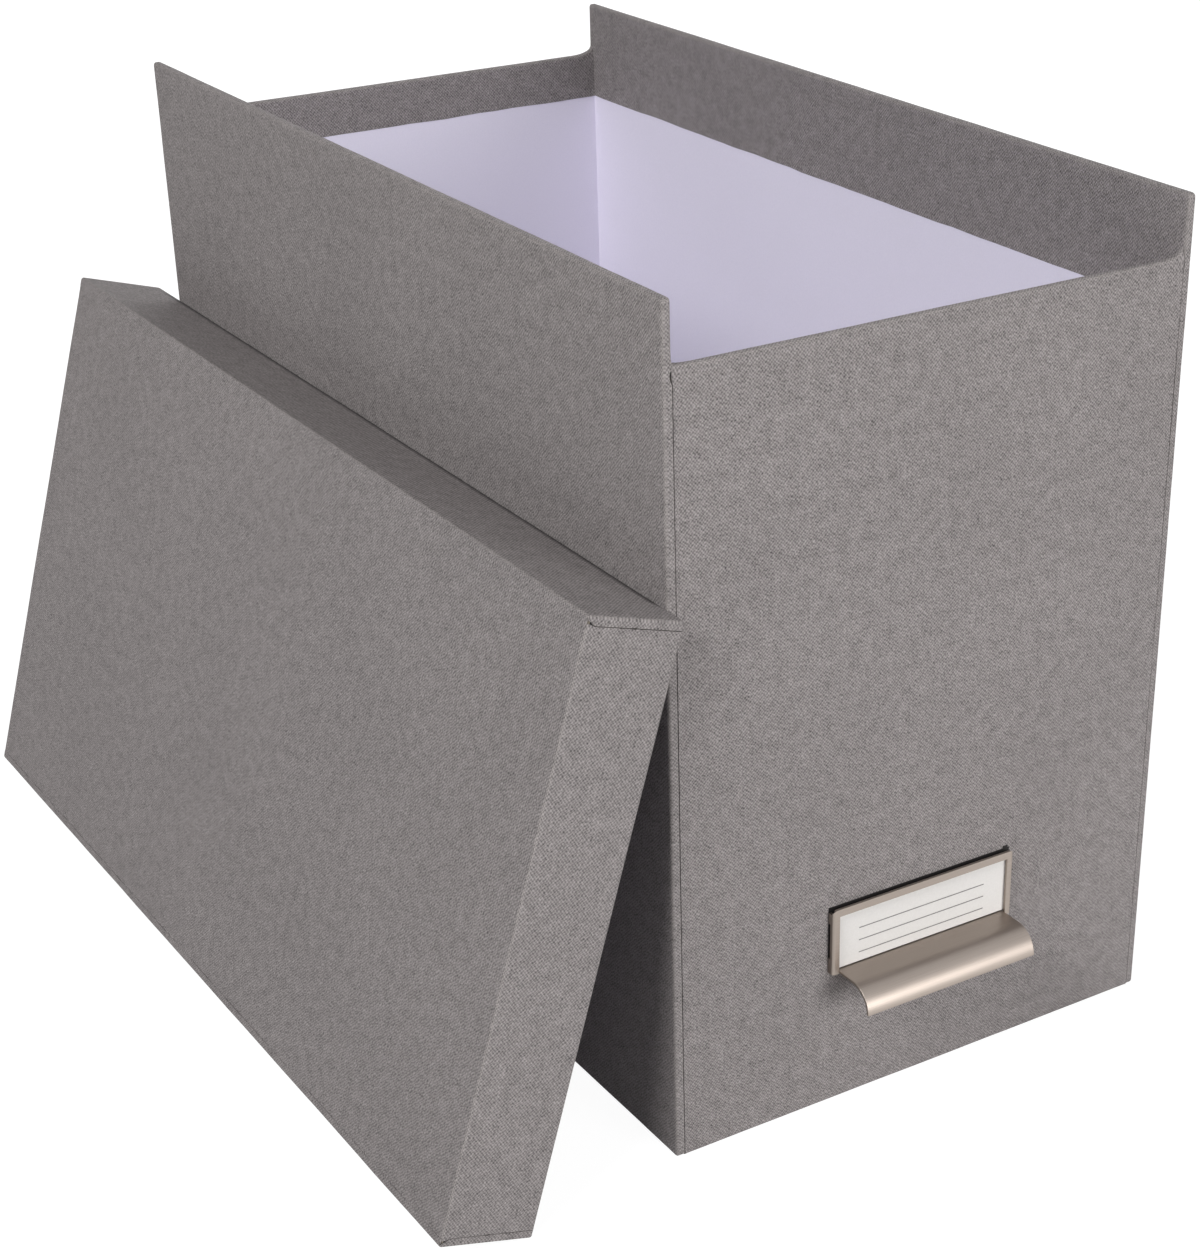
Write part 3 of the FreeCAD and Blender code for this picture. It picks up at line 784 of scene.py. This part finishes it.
def lay_lid():
    """Cloth over the lid, as one piece."""
    box = cloth_box("lid", LID, ("upper", "lower"), "lid_front_lining", 0)
    sheet = Sheet("lid_cloth", CLOTH, LID)
    for lay in (box.lay_side, box.lay_end):
        lay(sheet, False)
        lay(sheet, True)
    box.lay_panel(sheet)
    sheet.finish(CLOTH_GREY, "lid", "cover_paper",
                 [f"lid_{part}_cover" for part in ("panel", "upper", "lower", "front", "back")])
    box.lay_seam_shade("lid", LID)


def lay_flat(name, place, label, inward, body, material, slot, ripple=PAPER_RIPPLE):
    """Replace a flat sheet by one that lies a little unevenly. inward is the side that shows."""
    low, high = box_in(place, label)
    axis = max(range(3), key=lambda k: abs(inward[k]))
    others = [k for k in range(3) if k != axis]
    level = high[axis] if inward[axis] > 0 else low[axis]

    def put(u, v):
        point = Vector((0, 0, 0))
        point[axis], point[others[0]], point[others[1]] = level, u, v
        return point, Vector(inward), 0.0, (u, v)

    sheet = Sheet(name, high[axis] - low[axis], place)
    sheet.grid(*[even_stops(low[k], high[k]) for k in others], put)
    sheet.finish(material, body, slot, [label], ripple)


INWARD = {"left": (1, 0, 0), "right": (-1, 0, 0), "front": (0, 1, 0), "back": (0, -1, 0), "floor": (0, 0, 1)}
LID_PART = {"left": "upper", "right": "lower", "front": "front", "back": "back", "floor": "panel"}


def lay_linings():
    """Linings of both open boxes, and the tray's base sheet."""
    for part, inward in INWARD.items():
        for body, place, key in (("tray", TRAY, part), ("lid", LID, LID_PART[part])):
            lay_flat(f"{body}_{key}_paper", place, f"{body}_{key}_lining", inward, body,
                     LINING_WHITE, "lining_paper")
    lay_flat("tray_base_cloth", TRAY, "tray_base_cover", (0, 0, -1), "tray", CLOTH_GREY, "cover_paper", 0)


lay_tray()
lay_lid()
lay_linings()


# ------------ label holder and card

HOLDER = {
    "sheet": 0.9 * MM,     # metal thickness
    "strip": 2.4 * MM,     # face strips round the card
    "depth": 2.6 * MM,     # face, out from the wall
    "gap": 1.0 * MM,       # air behind the side flanges
    "foot": 5.0 * MM,      # length of the flanges' feet
    "fold": 1.0 * MM,      # outside radius of the flanges' folds
    "corner": 1.5 * MM,    # rounded top corners
    "bend": 8.0 * MM,      # outside radius of the finger curl
    "reach": 17.5 * MM,    # pull, out from the wall
    "card_gap": 0.3 * MM,  # air round the card
}


def break_edges(piece, width):
    """Break the sharp edges of a piece with a live bevel."""
    bevel = piece.modifiers.new("soft_edges", "BEVEL")
    bevel.width, bevel.segments, bevel.limit_method = width, 2, "ANGLE"
    bevel.angle_limit = math.radians(40)
    bevel.harden_normals = True


def build_holder_frame(centre, half, height):
    """Pressed frame: strips left, right and on top, with side flanges that stand on feet."""
    size = HOLDER
    face, fold = -size["depth"], size["fold"]
    xs = stops(fold_stops(-half, fold, 1), fold_stops(half, fold, -1),
               even_stops(size["strip"] - half, half - size["strip"], PULL_CELL),
               [size["corner"] - half, half - size["corner"]])
    zs = stops([0, size["foot"], height - size["foot"]],
               even_stops(height - size["strip"], height, 0.3 * MM))
    ys = stops(fold_stops(face, fold, 1), [-size["gap"], 0.5 * MM])

    def put(x, y, z):
        over = Vector((0, 0, 0))
        core = Vector((x, y, z))
        if abs(x) > half - fold:
            over.x, core.x = math.copysign((abs(x) - half + fold) / fold, x), math.copysign(half - fold, x)
        if y < face + fold:
            over.y, core.y = (y - face - fold) / fold, face + fold
        turned = over.normalized()
        point = core + turned * fold
        if z > height - size["strip"]:
            past = max(0.0, abs(point.x) - half + size["corner"])
            top = height - size["corner"] + math.sqrt(max(0.0, size["corner"] ** 2 - past ** 2))
            share = (z - height + size["strip"]) / size["strip"]
            point.z = height - size["strip"] + share * (top - height + size["strip"])
        return point + centre, turned, 0.0, (x, z)

    sheet = Sheet("holder_frame", size["sheet"])
    sheet.grid(xs, zs, lambda x, z: put(x, face, z),
               lambda x, z: abs(x) > half - size["strip"] or z > height - size["strip"])
    for side in (-half, half):
        sheet.grid(ys, zs, lambda y, z, side=side: put(side, y, z),
                   lambda y, z: y < -size["gap"] or z < size["foot"] or z > height - size["foot"])
    return sheet.finish(NICKEL, "tray", "holder_metal", ["label_holder"], 0)


def build_pull(centre, half):
    """Finger pull: a ledge that the card stands on, then a quarter bend down to a free edge."""
    size = HOLDER
    bend, metal, reach = size["bend"], size["sheet"], size["reach"]
    flat_end = reach - bend
    xs = even_stops(-half, half, PULL_CELL)
    flats = even_stops(0.2 * MM, flat_end, 2 * MM)
    turns = even_stops(0, math.pi / 2, math.pi / 36)
    sheet = Sheet("holder_pull", metal)
    sheet.grid(xs, flats, lambda x, d: (centre + Vector((x, -d, metal)), Vector((0, 0, 1)), 0.0, (x, d)))

    def curl(x, angle):
        out = Vector((0, -math.sin(angle), math.cos(angle)))
        return centre + Vector((x, -flat_end, metal - bend)) + out * bend, out, 0.0, (x, angle * bend)

    sheet.grid(xs, turns, curl)
    return sheet.finish(NICKEL, "tray", "holder_metal", [], 0)


ROUND_STEPS = 6            # sides over a card's rounded corner
RULE_FROM_TOP = 8 * MM     # the first printed rule, below the card's top
INK = 0.005 * MM           # how far a rule lies in front of the card


def rounded_outline(half_width, low, high, radius):
    """Points round a rectangle with rounded corners."""
    points = []
    corners = ((half_width - radius, high - radius, 0), (radius - half_width, high - radius, 1),
               (radius - half_width, low + radius, 2), (half_width - radius, low + radius, 3))
    for x, z, quarter in corners:
        for k in range(ROUND_STEPS + 1):
            angle = math.pi / 2 * (quarter + k / ROUND_STEPS)
            points.append((x + radius * math.cos(angle), z + radius * math.sin(angle)))
    return points


def build_card():
    """Card with rounded corners and its printed rules."""
    low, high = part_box("label_card")
    middle = (low.x + high.x) / 2
    outline = rounded_outline((high.x - low.x) / 2, low.z, high.z, 1.4 * MM)
    count = len(outline)
    points = [(middle + x, low.y, z) for x, z in outline] + [(middle + x, high.y, z) for x, z in outline]
    faces = [list(range(count)), list(range(2 * count - 1, count - 1, -1))]
    faces += [[(k + 1) % count, k, k + count, (k + 1) % count + count] for k in range(count)]
    mesh = bpy.data.meshes.new("name_card")
    mesh.from_pydata(points, [], faces)
    mesh.materials.append(CARD_STOCK)
    card = place_piece("name_card", mesh, "card", ["label_card"])
    break_edges(card, 0.06 * MM)
    build_rules(low, high, middle)


def rule_tree():
    """Geometry Nodes: a stack of printed rules, evenly spaced down the card."""
    tree = bpy.data.node_groups.new("printed_rules", "GeometryNodeTree")
    sockets = {}
    for label, kind, value in (
            ("Count", "NodeSocketInt", 3),
            ("Spacing", "NodeSocketFloat", 4 * MM),
            ("Length", "NodeSocketFloat", 50 * MM),
            ("Line Weight", "NodeSocketFloat", 0.3 * MM),
            ("First", "NodeSocketVector", (0, 0, 0)),
            ("Ink", "NodeSocketMaterial", None)):
        socket = tree.interface.new_socket(name=label, in_out="INPUT", socket_type=kind)
        if value is not None:
            socket.default_value = value
        sockets[label] = socket.identifier
    tree.interface.new_socket(name="Geometry", in_out="OUTPUT", socket_type="NodeSocketGeometry")
    given, out = node(tree, "NodeGroupInput", -800, 0), node(tree, "NodeGroupOutput", 600, 0)
    links = tree.links
    down = node(tree, "ShaderNodeCombineXYZ", -550, -150)
    links.new(maths(tree, "MULTIPLY", -700, -200, given.outputs["Spacing"], -1.0), down.inputs["Z"])
    line = node(tree, "GeometryNodeMeshLine", -350, 0, mode="OFFSET")
    links.new(given.outputs["Count"], line.inputs["Count"])
    links.new(given.outputs["First"], line.inputs["Start Location"])
    links.new(down.outputs[0], line.inputs["Offset"])
    size = node(tree, "ShaderNodeCombineXYZ", -550, -350)
    links.new(given.outputs["Length"], size.inputs["X"])
    size.inputs["Y"].default_value = 0.02 * MM
    links.new(given.outputs["Line Weight"], size.inputs["Z"])
    bar = node(tree, "GeometryNodeMeshCube", -350, -350)
    links.new(size.outputs[0], bar.inputs["Size"])
    stamp = node(tree, "GeometryNodeInstanceOnPoints", -100, 0)
    links.new(line.outputs["Mesh"], stamp.inputs["Points"])
    links.new(bar.outputs["Mesh"], stamp.inputs["Instance"])
    real = node(tree, "GeometryNodeRealizeInstances", 100, 0)
    links.new(stamp.outputs[0], real.inputs[0])
    ink = node(tree, "GeometryNodeSetMaterial", 300, 0)
    links.new(real.outputs[0], ink.inputs["Geometry"])
    links.new(given.outputs["Ink"], ink.inputs["Material"])
    links.new(ink.outputs[0], out.inputs[0])
    return tree, sockets


def build_rules(low, high, middle):
    """Three plain writing rules on the card, in place of any wording."""
    tree, sockets = rule_tree()
    maker = add_object("rule_maker", bpy.data.meshes.new("rule_maker"))
    modifier = maker.modifiers.new("printed_rules", "NODES")
    modifier.node_group = tree
    for label, value in (
            ("Count", 3), ("Spacing", 4.2 * MM), ("Length", (high.x - low.x) * 0.72),
            ("Line Weight", 0.35 * MM), ("First", (middle, low.y - INK, high.z - RULE_FROM_TOP)),
            ("Ink", PRINT_GREY)):
        modifier[sockets[label]] = value
    graph = bpy.context.evaluated_depsgraph_get()
    mesh = bpy.data.meshes.new_from_object(maker.evaluated_get(graph))
    mesh.name = "card_rules"
    bpy.data.objects.remove(maker)
    place_piece("card_rules", mesh, "card")


def build_frame_shade(centre, half, height):
    """Painted shade: a dark film between the holder's frame and the wall, which shows as a dark line round
    the frame where the gap behind it would be in shadow.
    """
    film, strip, tab, tab_inset = 0.12 * MM, HOLDER["strip"], 0.8 * MM, 0.6 * MM
    over = height + film
    sheet = Sheet("holder_frame_shade", film)

    def put(x, z):
        return centre + Vector((x, -film, z)), Vector((0, -1, 0)), 0.0, (x, z)

    sides = [-half, strip - half, half - strip, half]
    sheet.grid(stops(sides, [half - tab_inset]), [HOLDER["sheet"], height - strip, over, over + tab], put,
               lambda x, z: (half - strip < x < half - tab_inset) if z > over else
               z > height - strip or abs(x) > half - strip)
    sheet.finish(PAINTED_SHADE, "tray", "stay_tape", [], 0)


def build_holder():
    """Label holder on the front wall: frame, pull and the dark film of painted shade behind the frame."""
    low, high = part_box("label_holder")
    wall_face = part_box("tray_front_cover")[0].y
    half = (high.x - low.x) / 2
    card_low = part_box("label_card")[0]
    bottom = card_low.z - HOLDER["sheet"] - HOLDER["card_gap"]
    centre = Vector(((low.x + high.x) / 2, wall_face, bottom))
    break_edges(build_holder_frame(centre, half, high.z - bottom), 0.16 * MM)
    break_edges(build_pull(centre, half - HOLDER["strip"]), 0.2 * MM)
    build_frame_shade(centre, half, high.z - bottom)


build_holder()
build_card()


# ------------ studio

FLOOR_REACH = 6.0
SKY_LIGHT = 0.16         # soft light from all round
SKY_SEEN = 0.86          # added where it is seen directly, which makes it white


def seen_directly(tree):
    """1 where the camera or a reflection looks, 0 for the soft light that bounces round the room."""
    path = node(tree, "ShaderNodeLightPath", -700, -300)
    return maths(tree, "MAXIMUM", -500, -300, path.outputs["Is Camera Ray"], path.outputs["Is Glossy Ray"])


def build_floor():
    """Floor that gives back part of the light and looks almost white."""
    material, tree, shader = new_material("studio_floor", 0.9, specular=0.1)
    seen = seen_directly(tree)
    tree.links.new(mix_colours(tree, -200, 0, seen, (0.6, 0.6, 0.6, 1), (0.2, 0.2, 0.2, 1)),
                   shader.inputs["Base Color"])
    tree.links.new(mix_colours(tree, -200, -300, seen, (0, 0, 0, 1), (0.95, 0.95, 0.95, 1)),
                   shader.inputs["Emission Color"])
    shader.inputs["Emission Strength"].default_value = 1
    mesh = bpy.data.meshes.new("studio_floor")
    corners = [(x * FLOOR_REACH, y * FLOOR_REACH, 0) for x, y in ((-1, -1), (1, -1), (1, 1), (-1, 1))]
    mesh.from_pydata(corners, [], [[0, 1, 2, 3]])
    mesh.materials.append(material)
    add_object("studio_floor", mesh)


def direction(azimuth, elevation):
    """Direction from the box, in degrees from the front towards the right and above the ground."""
    a, e = math.radians(azimuth), math.radians(elevation)
    return Vector((math.sin(a) * math.cos(e), -math.cos(a) * math.cos(e), math.sin(e)))


def soft_light(name, azimuth, elevation, distance, size, power):
    """A square soft light that looks at the middle of the box. power is in watts."""
    data = bpy.data.lights.new(name, "AREA")
    data.size, data.energy = size, power
    away = direction(azimuth, elevation)
    light = add_object(name, data)
    light.location = Vector((0, 0, 0.12)) + away * distance
    light.rotation_mode = "QUATERNION"
    light.rotation_quaternion = away.to_track_quat("Z", "Y")


def build_studio():
    """Floor, soft light from all round and three soft lights."""
    build_floor()
    world = bpy.data.worlds.new("studio_air")
    world.use_nodes = True
    air = world.node_tree.nodes["Background"]
    air.inputs["Color"].default_value = (0.97, 0.98, 1.0, 1)
    tree = world.node_tree
    brightness = maths(tree, "MULTIPLY_ADD", -200, 0, seen_directly(tree), SKY_SEEN, SKY_LIGHT)
    tree.links.new(brightness, air.inputs["Strength"])
    bpy.context.scene.world = world
    soft_light("low_front_light", 13, 8, 2.2, 0.9, 27)
    soft_light("left_light", -68, 40, 2.4, 0.9, 37)
    soft_light("back_light", 140, 24, 2.6, 1.6, 22)


def build_camera():
    """Camera in front of the left corner, looking down at the box through a shifted lens."""
    data = bpy.data.cameras.new("view_camera")
    data.sensor_width, data.lens = 36.0, 73.7409
    data.shift_x, data.shift_y = -0.08175, 0.15172
    data.clip_start, data.clip_end = 0.05, 50
    camera = add_object("view_camera", data)
    camera.location = (-0.40996, -0.69039, 0.44829)
    camera.rotation_mode = "QUATERNION"
    roll = Matrix.Rotation(math.radians(-0.654), 4, "Z").to_quaternion()
    camera.rotation_quaternion = direction(-32.323, 28.388).to_track_quat("Z", "Y") @ roll
    bpy.context.scene.camera = camera
    bpy.context.scene.view_settings.view_transform = "Standard"


build_studio()
build_camera()
